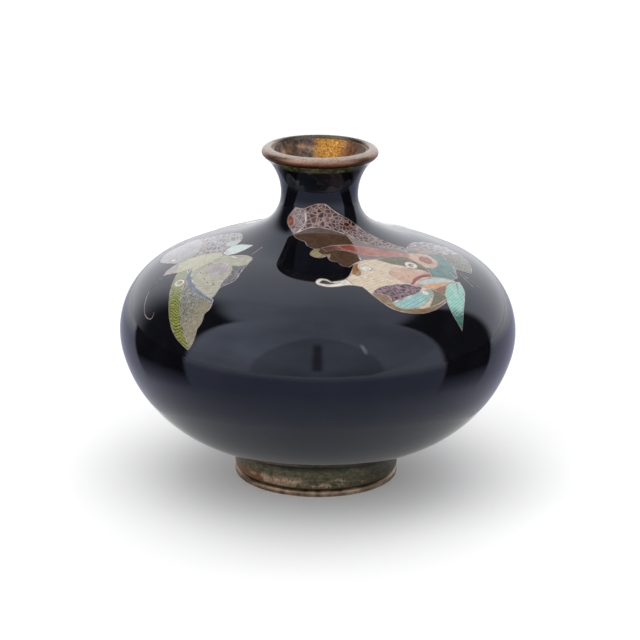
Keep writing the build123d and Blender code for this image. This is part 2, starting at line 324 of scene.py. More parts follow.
LEAF_CELLS = {
    "forewing": [
        (((3, -37.5), (12, -44.5), (20, -49.3), (25.8, -50)), ((26.5, -47), (25.5, -43.8)),
         ((25.5, -41.4), (24.3, -39.2)), ((24.2, -36.8), (22.3, -34.3)), ((14, -34.5), (8, -33.2),
         (1, -30)), ((-1, -34),)),
    ],
    "body": [
        (((-2.5, -22.5), (-7.6, -30.5), (-7, -35.3), (-5, -37.2)), ((-3.4, -35.4), (2.5, -32.5)),
         ((3.6, -26), (2, -19))),
        (((-1.3, -17), (1, -14.7), (4.5, -13.2)), ((5, -17), (4, -20), (1.2, -20.8))),
    ],
    "hindwing": [
        (((3, -36), (21.4, -35.3)), ((21, -33), (19, -29.8), (19.4, -27), (17, -23), (13.8, -19)),
         ((12, -17), (9, -17), (5, -19.8), (1, -22)), ((0, -25), (1, -28))),
    ],
    "far_wings": [
        (((-3, -13.5), (-9, -12), (-17, -15), (-25, -22)), ((-26, -28), (-18, -34)), ((-11, -32.6),
         (-4, -29.5)), ((0, -23), (0.5, -18))),
    ],
}
LEAF_FIELDS = {
    "forewing": ("grey_mottle", [
        ("herringbone", (((0.3, -31.6), (5, -33.9), (9, -36.9), (13, -40.4), (17, -43.6), (21, -46.4),
            (25.2, -48.6)), ((27, -52),), ((10, -49), (-4, -37)), ((-3, -32.5),))),
        ("ivory", ellipse(5.2, -36.1, 1.85, 1.5)),
        ("moss", ellipse(5.2, -36.1, 1.0, 0.8)),
        ("slate_blue", (((5, -32.2), (9, -33.6), (14, -34.1), (18, -33.9), (23, -33)), ((23, -35.2),),
            ((18.5, -35.6), (14, -35.9), (9, -35.1), (4, -33.2), (0.4, -29.4)))),
    ]),
    "body": ("pale_yellow", [
        ("mint_white", (((5.8, -20.6),), ((1, -20.8), (-1.8, -17.5)), ((1, -13.6), (5.8, -12)))),
        ("lilac", (((-4.5, -32.8), (-2.4, -35)), ((-4, -39), (-10, -36)), ((-9, -31),))),
    ]),
    "hindwing": ("khaki", [
        ("lilac", (((6.5, -23.6), (10, -23), (12.6, -24.6), (13.2, -27.2), (11, -28.6)), ((7, -28.5),
            (4, -26.3)))),
        ("grey_net", (((13.2, -21), (14.2, -18)), ((20, -21), (22, -29)), ((19.6, -30.6),),
            ((17.3, -28.8), (15.6, -25.8), (13.4, -23.6), (11, -22.4)))),
        ("ivory", (((6.6, -19.5), (8.3, -18)), ((7, -20.2), (5, -20)), ((4.6, -18.7),))),
        ("ink", ellipse(6.4, -29.8, 0.45, 0.35)),
        ("ink", ellipse(11, -30.8, 0.4, 0.32)),
        ("ink", ellipse(13.4, -31.1, 0.4, 0.32)),
        ("ink", ellipse(15.8, -30.5, 0.5, 0.35)),
    ]),
    "far_wings": ("far_lace", [
        ("pale_mint", (((-4.2, -14.2), (-2, -14)), ((-1, -16.6), (-4, -18.2)), ((-6, -17),))),
        ("far_plain", (((-19, -20.6), (-11, -22.6)), ((-6, -28),), ((-14, -36), (-28, -30)),
            ((-27, -21),))),
        ("ink", ellipse(-8, -22, 0.8, 0.3)),
        ("ivory", ellipse(-12.4, -31.2, 1.2, 0.7)),
    ]),
}
LEAF_FEELERS = (
    ((-4.4, -38), (-4, -43), (-1.2, -47), (4, -50), (6.8, -49.2), (6.4, -47.6)),
    ((8, -12), (9.4, -16.2)),
)

# Each butterfly: the azimuth in degrees that its drawing plane faces, its kind, and its drawing.
BUTTERFLIES = {
    "front_butterfly": (25.0, "lace", LACE_CELLS, LACE_FIELDS, LACE_FEELERS),
    "left_butterfly": (-65.0, "leaf", LEAF_CELLS, LEAF_FIELDS, LEAF_FEELERS),
    "back_butterfly": (160.0, "lace", LACE_CELLS, LACE_FIELDS, LACE_FEELERS),
}


def carry_to_enamel(flat, azimuth, lift):
    """Carry drawing points along the drawing plane's normal to the enamel, a little proud of it.

    Returns the points and the enamel's outward normals there."""
    turn = math.radians(azimuth)
    across = np.array([math.cos(turn), math.sin(turn), 0.0])
    normal = np.array([math.sin(turn) * math.cos(DRAWING_TILT),
                       -math.cos(turn) * math.cos(DRAWING_TILT), math.sin(DRAWING_TILT)])
    up = np.cross(normal, across)
    start = np.array([0, 0, DRAWING_HEIGHT]) + flat[:, :1] * across + flat[:, 1:] * up

    def within(reach):
        at = start + reach[:, None] * normal
        return np.hypot(at[:, 0], at[:, 1]) < outside_radius(at[:, 2])

    near = np.zeros(len(flat))
    for reach in np.arange(0.0, DRAWING_REACH, 0.5):
        near = np.where(within(np.full(len(flat), reach)), reach, near)
    far = near + 0.5
    for _ in range(20):
        middle = (near + far) / 2
        hit = within(middle)
        near = np.where(hit, middle, near)
        far = np.where(hit, far, middle)
    at = start + near[:, None] * normal
    slope = np.interp(at[:, 2], OUTSIDE[:, 1], OUTSIDE[:, 2])
    outward = np.column_stack([at[:, :2] / np.hypot(at[:, 0], at[:, 1])[:, None], np.zeros(len(at))])
    normals = outward * np.sin(slope)[:, None] + np.array([0, 0, -1.0]) * np.cos(slope)[:, None]
    return at + normals * lift, normals


def triangulate(cells, fields):
    """Cut a butterfly into triangles along every outline.

    Returns flat points, and for each cell its triangles with the name of the field each is in."""
    rings = [(cell, ring_of(outline, DRAWING_STEP)) for cell in cells for outline in cells[cell]]
    colour_rings = {cell: [(name, ring_of(outline, DRAWING_STEP)) for name, outline in fields[cell][1]]
                    for cell in cells}
    low = np.min([ring.min(axis=0) for _, ring in rings], axis=0)
    high = np.max([ring.max(axis=0) for _, ring in rings], axis=0)
    grid = np.stack(np.meshgrid(np.arange(low[0], high[0], GRID_STEP),
                                np.arange(low[1], high[1], GRID_STEP)), -1).reshape(-1, 2)
    covered = np.any([inside(grid, ring) for _, ring in rings], axis=0)
    points = [grid[covered]]
    edges = []
    placed = int(covered.sum())
    for ring in [ring for _, ring in rings] + [r for named in colour_rings.values() for _, r in named]:
        edges += [(placed + i, placed + (i + 1) % len(ring)) for i in range(len(ring))]
        points.append(ring)
        placed += len(ring)
    flat, _, triangles, *_ = delaunay_2d_cdt(np.vstack(points).tolist(), edges, [], 0, 1e-5)
    flat = np.array([tuple(point) for point in flat])
    triangles = np.array(triangles)
    middles = flat[triangles].mean(axis=1)
    taken = np.zeros(len(triangles), bool)
    owned = {}
    for cell in cells:
        mine = np.any([inside(middles, ring) for name, ring in rings if name == cell], axis=0) & ~taken
        taken |= mine
        colours = np.full(len(triangles), fields[cell][0], dtype=object)
        for name, ring in colour_rings[cell]:
            colours[inside(middles, ring)] = name
        owned[cell] = (triangles[mine], colours[mine])
    return flat, owned


def inlay(name, cell, azimuth, flat, triangles, colours):
    """The visible face of one enamel cell, with each colour field as a material."""
    used, local = np.unique(triangles, return_inverse=True)
    points, normals = carry_to_enamel(flat[used], azimuth, INLAY_LIFT)
    triangles = local.reshape(-1, 3)
    edge_a, edge_b = (points[triangles[:, k]] - points[triangles[:, 0]] for k in (1, 2))
    backwards = np.einsum("ij,ij->i", np.cross(edge_a, edge_b), normals[triangles[:, 0]]) < 0
    triangles[backwards] = triangles[backwards][:, ::-1]
    names = sorted(set(colours))
    piece = make_piece(
        f"{name}_{cell}_piece", points, triangles.tolist(), f"{name}_{cell}",
        [ENAMELS[colour] for colour in names], normals, [names.index(colour) for colour in colours])
    layer = piece.data.attributes.new("flat", "FLOAT_VECTOR", "POINT")
    layer.data.foreach_set("vector", np.column_stack([flat[used], np.zeros(len(used))]).ravel())
    return piece


def open_runs(line, hidden):
    """The stretches of a line of points that aren't hidden."""
    runs, run = [], []
    for point, hide in zip(line, hidden):
        if hide:
            runs.append(run)
            run = []
        else:
            run.append(point)
    runs.append(run)
    return [np.array(run) for run in runs if len(run) > 1]


def wire_lines(cells, fields, feelers):
    """Every line of silver wire in a butterfly's drawing that no cell or field laid on it hides."""
    lines = [natural_curve(feeler, DRAWING_STEP) for feeler in feelers]
    laid = []
    for cell in cells:
        rings = [ring_of(outline, DRAWING_STEP) for outline in cells[cell]]
        for ring in rings:
            closed = np.vstack([ring, ring[:1]])
            hidden = np.zeros(len(closed), bool)
            for other in laid:
                hidden |= inside(closed, other)
            lines += open_runs(closed, hidden)
        field_rings = [ring_of(outline, DRAWING_STEP) for _, outline in fields[cell][1]]
        for place, ring in enumerate(field_rings):
            closed = np.vstack([ring, ring[:1]])
            hidden = ~np.any([inside(closed, own) for own in rings], axis=0)
            for cover in laid + field_rings[place + 1:]:
                hidden |= inside(closed, cover)
            lines += open_runs(closed, hidden)
        laid = laid + rings
    return lines


def wires(name, azimuth, lines):
    """The polished tops of the wires: thin strips, rounded across, a hair proud of the enamel."""
    points, normals, faces = [], [], []
    placed = 0
    for line in lines:
        along = np.gradient(line, axis=0)
        along /= np.maximum(np.linalg.norm(along, axis=1), 1e-9)[:, None]
        sideways = np.column_stack([-along[:, 1], along[:, 0]]) * WIRE_WIDTH / 2
        count = len(line)
        for side, lift in ((-1, 0.0), (0, WIRE_LIFT), (1, 0.0)):
            at, out = carry_to_enamel(line + sideways * side, azimuth, INLAY_LIFT + lift)
            points.append(at)
            normals.append(out)
        for column in (0, count):
            for i in range(count - 1):
                a = placed + column + i
                faces.append((a, a + count, a + count + 1, a + 1))
        placed += 3 * count
    points, normals = np.vstack(points), np.vstack(normals)
    corners = points[np.array(faces)]
    facing = np.cross(corners[:, 1] - corners[:, 0], corners[:, 3] - corners[:, 0])
    backwards = np.einsum("ij,ij->i", facing, normals[[face[0] for face in faces]]) < 0
    faces = [face[::-1] if flip else face for face, flip in zip(faces, backwards)]
    return make_piece(f"{name}_wires_piece", points, faces, f"{name}_wires",
                      [SILVER], normals)


# Materials

# Tints of the reflections in the enamel, and the gloss of the coloured cells.
COOL_TINT = (0.84, 0.9, 1.0, 1)
BLUE_TINT = (0.72, 0.79, 0.98, 1)
INLAY_ROUGHNESS = 0.06


def rgb(red, green, blue):
    """A linear colour with alpha from 8-bit screen values."""
    return tuple(((v / 255 + 0.055) / 1.055) ** 2.4 if v > 10 else v / 255 / 12.92
                 for v in (red, green, blue)) + (1.0,)


def add_node(tree, kind, inputs=(), **settings):
    """Add a node. inputs are (socket, value) pairs, where a value may be another node's output."""
    made = tree.nodes.new(kind)
    for setting, value in settings.items():
        setattr(made, setting, value)
    for socket, value in inputs:
        if isinstance(value, bpy.types.NodeSocket):
            tree.links.new(value, made.inputs[socket])
        else:
            made.inputs[socket].default_value = value
    return made


def ramp(tree, factor, stops):
    """A colour ramp over a factor, from (place, colour) stops."""
    made = add_node(tree, "ShaderNodeValToRGB", [(0, factor)])
    elements = made.color_ramp.elements
    while len(elements) < len(stops):
        elements.new(0.5)
    for element, (place, colour) in zip(elements, stops):
        element.position = place
        element.color = colour
    return made.outputs[0]


def shaded(tree, factor, places, *shades):
    """A colour ramp through 8-bit shades at these places along a factor."""
    return ramp(tree, factor, [(place, rgb(*shade)) for place, shade in zip(places, shades)])


def mask(tree, factor, start, end):
    """0 below start and 1 above end, smooth between. With start over end it is the other way up."""
    return add_node(tree, "ShaderNodeMapRange",
                    [(0, factor), (1, start), (2, end)], interpolation_type="SMOOTHSTEP").outputs[0]


def window(tree, value, low, high, soft_low, soft_high):
    """1 between low and high, falling smoothly to 0 over a width at each end."""
    rise = mask(tree, value, low - soft_low / 2, low + soft_low / 2)
    fall = mask(tree, value, high + soft_high / 2, high - soft_high / 2)
    return times(tree, rise, fall)


def blend(tree, factor, below, above, mode="MIX"):
    """Two colours mixed by a factor."""
    return add_node(tree, "ShaderNodeMix", [(0, factor), (6, below), (7, above)],
                    data_type="RGBA", blend_type=mode).outputs[2]


def maths(tree, operation, first, second=0.0):
    return add_node(tree, "ShaderNodeMath", [(0, first), (1, second)], operation=operation).outputs[0]


def times(tree, first, second):
    return maths(tree, "MULTIPLY", first, second)


def plus(tree, first, second):
    return maths(tree, "ADD", first, second)


def remap(tree, factor, start, end, low=0.0, high=1.0):
    """A factor carried from one range to another, and held at the ends."""
    return add_node(tree, "ShaderNodeMapRange",
                    [(0, factor), (1, start), (2, end), (3, low), (4, high)]).outputs[0]


def uneven(tree, factor, low, high):
    """A noise, which stays near one half, spread out to run from low to high."""
    return remap(tree, factor, 0.3, 0.7, low, high)


def voronoi(tree, place, scale, output="Distance", feature="F1"):
    return add_node(tree, "ShaderNodeTexVoronoi", [("Vector", place), ("Scale", scale)],
                    feature=feature).outputs[output]


def noise(tree, place, scale, detail=3.0, distortion=0.0):
    return add_node(tree, "ShaderNodeTexNoise",
                    [("Vector", place), ("Scale", scale), ("Detail", detail),
                     ("Distortion", distortion)]).outputs["Fac"]


def stretched(tree, place, scale=(1, 1, 1), turn=0.0):
    """Texture space turned in the drawing plane, in degrees, and then stretched."""
    turned = add_node(tree, "ShaderNodeMapping",
                      [("Vector", place), ("Rotation", (0, 0, math.radians(turn)))])
    return add_node(tree, "ShaderNodeMapping", [("Vector", turned.outputs[0]), ("Scale", scale)]).outputs[0]


def separate(tree, place):
    """The three coordinates of a place."""
    return add_node(tree, "ShaderNodeSeparateXYZ", [(0, place)]).outputs


def object_mm(tree):
    """The piece's own coordinates in millimetres."""
    place = add_node(tree, "ShaderNodeTexCoord").outputs["Object"]
    return add_node(tree, "ShaderNodeMapping", [("Vector", place), ("Scale", (1000, 1000, 1000))]).outputs[0]


def new_material(name):
    material = bpy.data.materials.new(name)
    material.use_nodes = True
    tree = material.node_tree
    return material, tree, tree.nodes["Principled BSDF"]


def plug(tree, shader, **sockets):
    """Give a shader's sockets values or other nodes' outputs. A name has _ for each space."""
    for name, value in sockets.items():
        socket = shader.inputs[name.replace("_", " ")]
        if isinstance(value, bpy.types.NodeSocket):
            tree.links.new(value, socket)
        else:
            socket.default_value = value


def relief(tree, height, distance_mm):
    """A bump normal from a height pattern of this depth."""
    return add_node(tree, "ShaderNodeBump", [("Height", height), ("Distance", distance_mm * MM)]).outputs[0]


def glassy(tree, shader, place, roughness, tint=COOL_TINT):
    """Fired and hand-polished enamel: a mirror gloss with faint waves, pits and polishing haze."""
    haze = noise(tree, place, 0.35, 4.0)
    pits = voronoi(tree, place, 0.55)
    holes = mask(tree, pits, 0.10, 0.04)
    waves = noise(tree, place, 0.06, 1.0)
    height = maths(tree, "SUBTRACT", waves, times(tree, holes, 0.4))
    plug(tree, shader, Roughness=uneven(tree, haze, roughness * 0.7, roughness * 1.5), IOR=1.5,
         Specular_Tint=tint, Normal=relief(tree, height, 0.012))
    return holes


def ground_material():
    """Midnight-blue enamel, close to black, with faint cloudy depth and tiny firing pits."""
    material, tree, shader = new_material("midnight_enamel")
    place = object_mm(tree)
    holes = glassy(tree, shader, place, 0.035, BLUE_TINT)
    cloud = shaded(tree, noise(tree, place, 0.09, 5.0, 0.6), (0.3, 0.55, 0.75), (8, 8, 11), (12, 12, 16),
                   (18, 17, 23))
    dust = voronoi(tree, place, 0.9)
    speck = mask(tree, dust, 0.035, 0.015)
    colour = blend(tree, speck, cloud, rgb(120, 122, 132))
    plug(tree, shader, Base_Color=blend(tree, holes, colour, rgb(6, 6, 8)))
    return material


def mottled(tree, flat, shades, grain):
    """Enamel ground from grains of uneven colour: a dark, a middle and a light shade."""
    fine = noise(tree, flat, 3.0 / grain, 4.0)
    coarse = noise(tree, flat, 0.6 / grain, 2.0, 0.4)
    both = plus(tree, times(tree, fine, 0.55), times(tree, coarse, 0.45))
    return shaded(tree, both, (0.36, 0.5, 0.64), *shades)


def net(cell, line, turn=0.0, stretch=(1, 1, 1), width=0.09, dark=None):
    """A pattern of small cells with pale walls of wire, and a darker heart where dark is given."""
    def draw(tree, flat, colour):
        place = stretched(tree, flat, stretch, turn)
        wall = voronoi(tree, place, 1 / cell, feature="DISTANCE_TO_EDGE")
        if dark:
            kind = voronoi(tree, place, 1 / cell, "Color")
            depth = times(tree, mask(tree, wall, width, width + 0.16),
                          mask(tree, kind, 0.0, 0.5))
            colour = blend(tree, depth, colour, rgb(*dark))
        return blend(tree, mask(tree, wall, width, width * 0.35), colour, rgb(*line))
    return draw


def hatch(spacing, line, turn=0.0, wobble=0.6, strength=0.6, width=0.35):
    """Fine lines side by side, drawn by hand and so a little wavy."""
    def draw(tree, flat, colour):
        place = stretched(tree, flat, (1, 1, 1), turn)
        bands = add_node(tree, "ShaderNodeTexWave",
                         [("Vector", place), ("Scale", math.pi / 10 / spacing), ("Distortion", wobble),
                          ("Detail", 2.0), ("Detail Scale", 0.5)], bands_direction="Y").outputs["Fac"]
        seen = times(tree, mask(tree, bands, width, width * 0.3), strength)
        return blend(tree, seen, colour, rgb(*line))
    return draw


def specks(size, spot, coverage=0.16):
    """Scattered dots."""
    def draw(tree, flat, colour):
        dots = voronoi(tree, flat, 1 / size)
        return blend(tree, mask(tree, dots, coverage, coverage * 0.5), colour, rgb(*spot))
    return draw


def chevrons(spacing, turn, lean, line):
    """Short dark barbs across a long field, as on a feather, each bowed and ragged."""
    def draw(tree, flat, colour):
        along, across, _ = separate(tree, stretched(tree, flat, (1, 1, 1), turn))
        sway = times(tree, noise(tree, flat, 0.8, 2.0), 1.1)
        bow = times(tree, maths(tree, "PINGPONG", across, 2.2), 0.5)
        barb = plus(tree, along, plus(tree, times(tree, across, lean), bow))
        barb = plus(tree, maths(tree, "DIVIDE", barb, spacing), sway)
        stripe = maths(tree, "PINGPONG", barb, 0.5)
        return blend(tree, mask(tree, stripe, 0.18, 0.06), colour, rgb(*line))
    return draw


def drift(turn, start, end, shade, strength=1.0):
    """One colour going over to another along a direction, in degrees, across the drawing."""
    def draw(tree, flat, colour):
        along, _, _ = separate(tree, stretched(tree, flat, (1, 1, 1), turn))
        ragged = times(tree, noise(tree, flat, 0.45, 4.0), 5.0)
        place = plus(tree, along, maths(tree, "SUBTRACT", ragged, 2.5))
        share = times(tree, mask(tree, place, start, end), strength)
        return blend(tree, share, colour, rgb(*shade))
    return draw


def enamel(name, dark, middle, light, grain, *patterns):
    """One coloured enamel: mottled grains, the lines drawn in it, and a glassy polish."""
    material, tree, shader = new_material(f"enamel_{name}")
    flat = add_node(tree, "ShaderNodeAttribute", attribute_name="flat").outputs["Vector"]
    colour = mottled(tree, flat, (dark, middle, light), grain)
    for draw in patterns:
        colour = draw(tree, flat, colour)
    holes = glassy(tree, shader, flat, INLAY_ROUGHNESS)
    plug(tree, shader, Base_Color=blend(tree, holes, colour, rgb(60, 50, 45)))
    return material


# Each enamel: its dark, middle and light shade, the size of its grains, and what is drawn over them.
ENAMEL_RECIPES = {
    "brown_lace": ((66, 40, 34), (92, 62, 54), (120, 92, 82), 1.0, drift(0, 2, 13, (132, 122, 116), 0.7),
        net(1.15, (152, 126, 118), turn=28, stretch=(0.8, 1, 1), width=0.09, dark=(46, 22, 18))),
    "plain_brown": ((60, 42, 30), (74, 54, 40), (92, 70, 54), 1.0,
        hatch(0.8, (98, 76, 62), turn=8, strength=0.35), specks(1.3, (46, 28, 20))),
    "pale_lace": ((86, 68, 66), (116, 96, 92), (140, 120, 116), 1.0,
        net(1.0, (158, 142, 138), turn=20, width=0.1)),
    "rust": ((104, 52, 42), (134, 80, 64), (160, 112, 94), 0.7, specks(0.8, (170, 140, 118), 0.2)),
    "grey_rose": ((104, 78, 72), (128, 102, 94), (152, 128, 118), 1.0,
        drift(90, -17, -12, (112, 98, 94), 0.8), hatch(0.9, (142, 120, 112), turn=25, strength=0.4)),
    "salmon": ((138, 78, 66), (158, 100, 88), (176, 124, 110), 1.2, specks(2.2, (96, 54, 44), 0.1),
        drift(180, 1.0, 6.0, (76, 52, 40), 0.85)),
    "red": ((118, 52, 40), (142, 68, 54), (158, 98, 70), 0.8),
    "crimson": ((116, 34, 28), (138, 44, 38), (156, 66, 56), 0.8),
    "ivory": ((172, 164, 146), (202, 196, 182), (222, 218, 208), 0.8),
    "straw": ((116, 104, 68), (142, 130, 94), (168, 158, 126), 0.7),
    "mint": ((96, 148, 132), (124, 172, 156), (154, 194, 178), 1.0, drift(90, 38, 43, (58, 104, 90), 0.9),
        hatch(0.75, (166, 200, 186), turn=-32, strength=0.6), specks(1.9, (56, 84, 76), 0.1)),
    "dark_mint": ((44, 84, 72), (62, 112, 98), (92, 142, 126), 0.6, specks(1.0, (30, 50, 46), 0.22)),
    "teal": ((64, 92, 86), (82, 110, 104), (102, 126, 118), 1.4, specks(2.6, (44, 60, 54), 0.1)),
    "cream": ((178, 158, 130), (196, 178, 152), (210, 196, 174), 1.0,
        hatch(1.05, (150, 130, 102), turn=-14, wobble=1.6, strength=0.35, width=0.25),
        specks(2.0, (138, 112, 84), 0.08)),
    "ink": ((24, 20, 18), (36, 32, 28), (52, 46, 40), 0.6),
    "midnight": ((14, 13, 19), (18, 17, 26), (26, 24, 36), 1.0),
    "bronze": ((112, 76, 40), (142, 102, 60), (168, 132, 92), 0.8),
    "olive": ((74, 72, 48), (94, 90, 64), (114, 108, 80), 1.2, specks(2.4, (50, 54, 40), 0.09)),
    "pink": ((166, 128, 106), (182, 148, 124), (196, 168, 146), 1.3, specks(2.4, (124, 84, 66), 0.07)),
    "purple_net": ((68, 44, 52), (86, 60, 68), (106, 80, 84), 1.0,
        net(1.15, (134, 104, 106), turn=24, stretch=(0.7, 1, 1), width=0.1, dark=(20, 10, 14))),
    "ochre": ((98, 74, 44), (122, 96, 62), (146, 120, 84), 1.0, specks(1.5, (74, 52, 30), 0.12)),
    "turquoise": ((88, 148, 144), (116, 172, 166), (148, 192, 182), 1.0,
        drift(0, 11, 16, (110, 132, 104), 0.8),
        hatch(1.15, (206, 210, 202), turn=-24, wobble=0.3, strength=0.95, width=0.45),
        hatch(1.15, (48, 60, 56), turn=-24, wobble=0.3, strength=0.9, width=0.16)),
    "orange": ((178, 118, 70), (192, 138, 86), (204, 162, 114), 0.9),
    "brown": ((98, 60, 36), (126, 82, 52), (150, 106, 72), 0.7),
    "pale_mint": ((142, 156, 148), (164, 172, 166), (184, 188, 182), 1.0),
    "grey_mottle": ((62, 62, 62), (108, 108, 102), (166, 162, 144), 0.55,
        drift(0, 16, 25, (150, 138, 114), 0.55),
        hatch(0.9, (160, 150, 124), turn=48, wobble=9.0, strength=0.25, width=0.4),
        specks(0.95, (172, 164, 142), 0.2), specks(1.0, (70, 62, 52), 0.26)),
    "herringbone": ((106, 110, 50), (128, 132, 68), (148, 150, 92), 0.7,
        chevrons(0.9, 54, -0.35, (38, 40, 18)), drift(90, 40, 34, (138, 142, 116), 0.8)),
    "moss": ((116, 126, 98), (138, 146, 118), (158, 164, 138), 1.0),
    "slate_blue": ((72, 86, 104), (90, 104, 120), (116, 126, 136), 1.2),
    "pale_yellow": ((152, 150, 122), (170, 168, 140), (186, 184, 160), 1.6,
        hatch(1.2, (140, 138, 112), turn=70, strength=0.4)),
    "mint_white": ((154, 172, 164), (184, 196, 188), (212, 218, 212), 0.5,
        specks(0.9, (124, 140, 130), 0.2)),
    "lilac": ((130, 120, 118), (148, 138, 136), (168, 158, 156), 1.6,
        hatch(1.3, (160, 152, 148), turn=40, strength=0.4)),
    "khaki": ((138, 134, 114), (158, 154, 134), (176, 174, 156), 1.0,
        hatch(1.3, (126, 120, 100), turn=-42, wobble=1.0, strength=0.4), specks(2.6, (76, 68, 54), 0.12)),
    "grey_net": ((54, 52, 54), (72, 70, 70), (92, 90, 90), 1.0,
        net(0.8, (116, 112, 112), turn=50, width=0.1, dark=(28, 26, 28))),
    # The far_ enamels are paler, greyer copies of near ones for the far wings: partly their own colour,
    # partly painted sheen where the gloss washes over them.
    "far_lace": ((110, 104, 102), (132, 126, 124), (154, 148, 146), 1.4,
        net(1.5, (160, 154, 150), turn=15, stretch=(0.6, 1, 1), width=0.06, dark=(92, 84, 82))),
    "far_rose": ((112, 94, 88), (136, 118, 112), (158, 142, 134), 1.4),
    "far_olive": ((74, 70, 58), (102, 98, 84), (134, 128, 112), 0.8,
        hatch(0.9, (60, 54, 42), turn=-50, strength=0.5)),
    "far_plain": ((128, 124, 122), (146, 142, 140), (162, 158, 156), 2.0),
}


def metal(name, shades, stain, roughness, grain=1.0, spun=0.0):
    """Aged metal: uneven patina, stains in its hollows, and fine lines where it was spun."""
    material, tree, shader = new_material(name)
    place = object_mm(tree)
    patina = noise(tree, place, 0.35 / grain, 5.0, 0.5)
    colour = shaded(tree, patina, (0.34, 0.5, 0.66), *shades)
    marks = mask(tree, noise(tree, place, 0.9 / grain, 6.0, 1.0), 0.58, 0.7)
    colour = blend(tree, marks, colour, rgb(*stain))
    lines = noise(tree, stretched(tree, place, (0.01, 0.01, 6.0)), 1.0, 3.0)
    height = plus(tree, times(tree, lines, spun), patina)
    plug(tree, shader, Base_Color=colour, Metallic=1.0, Normal=relief(tree, height, 0.05),
         Roughness=uneven(tree, patina, roughness * 0.8, roughness * 1.3))
    return material


# How worn the foot is low down, from its left edge at 0 to its right edge at 1.
FOOT_WEAR = ((0.15, 0.0), (0.21, 0.26), (0.38, 0.26), (0.44, 0.1), (0.56, 0.12), (0.65, 0.18), (0.73, 0.12),
             (0.82, 0.0))


def foot_material():
    """Olive-brown patina with painted shade under the body and down the right side, and worn to pinkish
    copper in patches low down.
    """
    material, tree, shader = new_material("foot_bronze")
    place = object_mm(tree)
    side, _, height = separate(tree, place)
    patches = noise(tree, stretched(tree, place, (1, 1, 1.4)), 0.2, 5.0, 0.6)
    colour = shaded(tree, noise(tree, stretched(tree, place, (1, 1, 2.0)), 0.7, 6.0), (0.34, 0.5, 0.66),
                    (70, 68, 49), (88, 85, 65), (108, 103, 82))
    # Painted shade: the top of the foot, under the body, is darkened.
    shade = mask(tree, plus(tree, height, times(tree, patches, 1.5)), 8.0, 10.2)
    colour = blend(tree, shade, colour, rgb(24, 27, 23))
    low = plus(tree, height, times(tree, patches, -3.0))
    colour = blend(tree, times(tree, mask(tree, low, 2.6, 0.8), 0.7), colour, rgb(112, 84, 50))
    rust = times(tree, mask(tree, side, -14.0, -18.0), mask(tree, low, 5.0, 2.4))
    colour = blend(tree, times(tree, rust, 0.75), colour, rgb(136, 84, 40))
    worn = shaded(tree, noise(tree, place, 1.4, 5.0), (0.35, 0.52, 0.7), (146, 114, 90), (184, 154, 130),
                  (210, 186, 162))
    across = remap(tree, side, -FOOT_TOP_RADIUS, FOOT_TOP_RADIUS)
    share = ramp(tree, across, [(spot, (level, level, level, 1)) for spot, level in FOOT_WEAR])
    bare = mask(tree, plus(tree, patches, share), 0.6, 0.74)
    bare = times(tree, bare, window(tree, height, 3.0, 5.6, 0.6, 1.8))
    colour = blend(tree, times(tree, bare, 0.85), colour, worn)
    pits = voronoi(tree, place, 0.8)
    hole = times(tree, mask(tree, pits, 0.24, 0.1), window(tree, height, 2.4, 6.0, 0.5, 2.0))
    colour = blend(tree, hole, colour, rgb(36, 26, 20))
    # Painted shade: the right side of the foot is darkened.
    right_side_shade = times(tree, mask(tree, side, 9.0, 20.0), 0.5)
    colour = blend(tree, right_side_shade, colour, rgb(34, 25, 20))
    groove = mask(tree, height, FOOT_RING_BOTTOM + 0.7, FOOT_RING_BOTTOM + 0.2)
    colour = blend(tree, groove, colour, rgb(30, 22, 16))
    plug(tree, shader, Base_Color=colour, Metallic=0.6, Roughness=uneven(tree, patches, 0.26, 0.42),
         Normal=relief(tree, maths(tree, "SUBTRACT", patches, hole), 0.1))
    return material


def lip_material():
    """Bronze made pale on top by a painted highlight, brown in front, and dark red underneath from painted
    shade.
    """
    material, tree, shader = new_material("lip_bronze")
    place = object_mm(tree)
    cloud = noise(tree, place, 0.35, 5.0, 0.6)
    grain = noise(tree, stretched(tree, place, (1, 1, 2.5)), 1.6, 6.0)
    height = separate(tree, place)[2]
    height = plus(tree, height, times(tree, cloud, 0.8))
    level = remap(tree, height, LIP_SEAT, VASE_HEIGHT)
    # Painted light by height: painted shade in dark red-brown low on the ring, rising to a pale painted
    # highlight on top.
    colour = ramp(tree, level, [(0.18, rgb(66, 34, 22)), (0.4, rgb(108, 68, 48)), (0.66, rgb(138, 100, 78)),
                                (0.9, rgb(160, 136, 118)), (1.0, rgb(166, 152, 138))])
    back = times(tree, mask(tree, separate(tree, place)[1], 2.0, 12.0),
                 mask(tree, level, 0.5, 0.9))
    colour = blend(tree, back, colour, rgb(92, 86, 74))
    streaks = shaded(tree, grain, (0.32, 0.55), (150, 126, 110), (255, 255, 255))
    plug(tree, shader, Base_Color=blend(tree, 0.6, colour, streaks, "MULTIPLY"), Metallic=0.85,
         Roughness=uneven(tree, cloud, 0.24, 0.4), Normal=relief(tree, grain, 0.04))
    return material


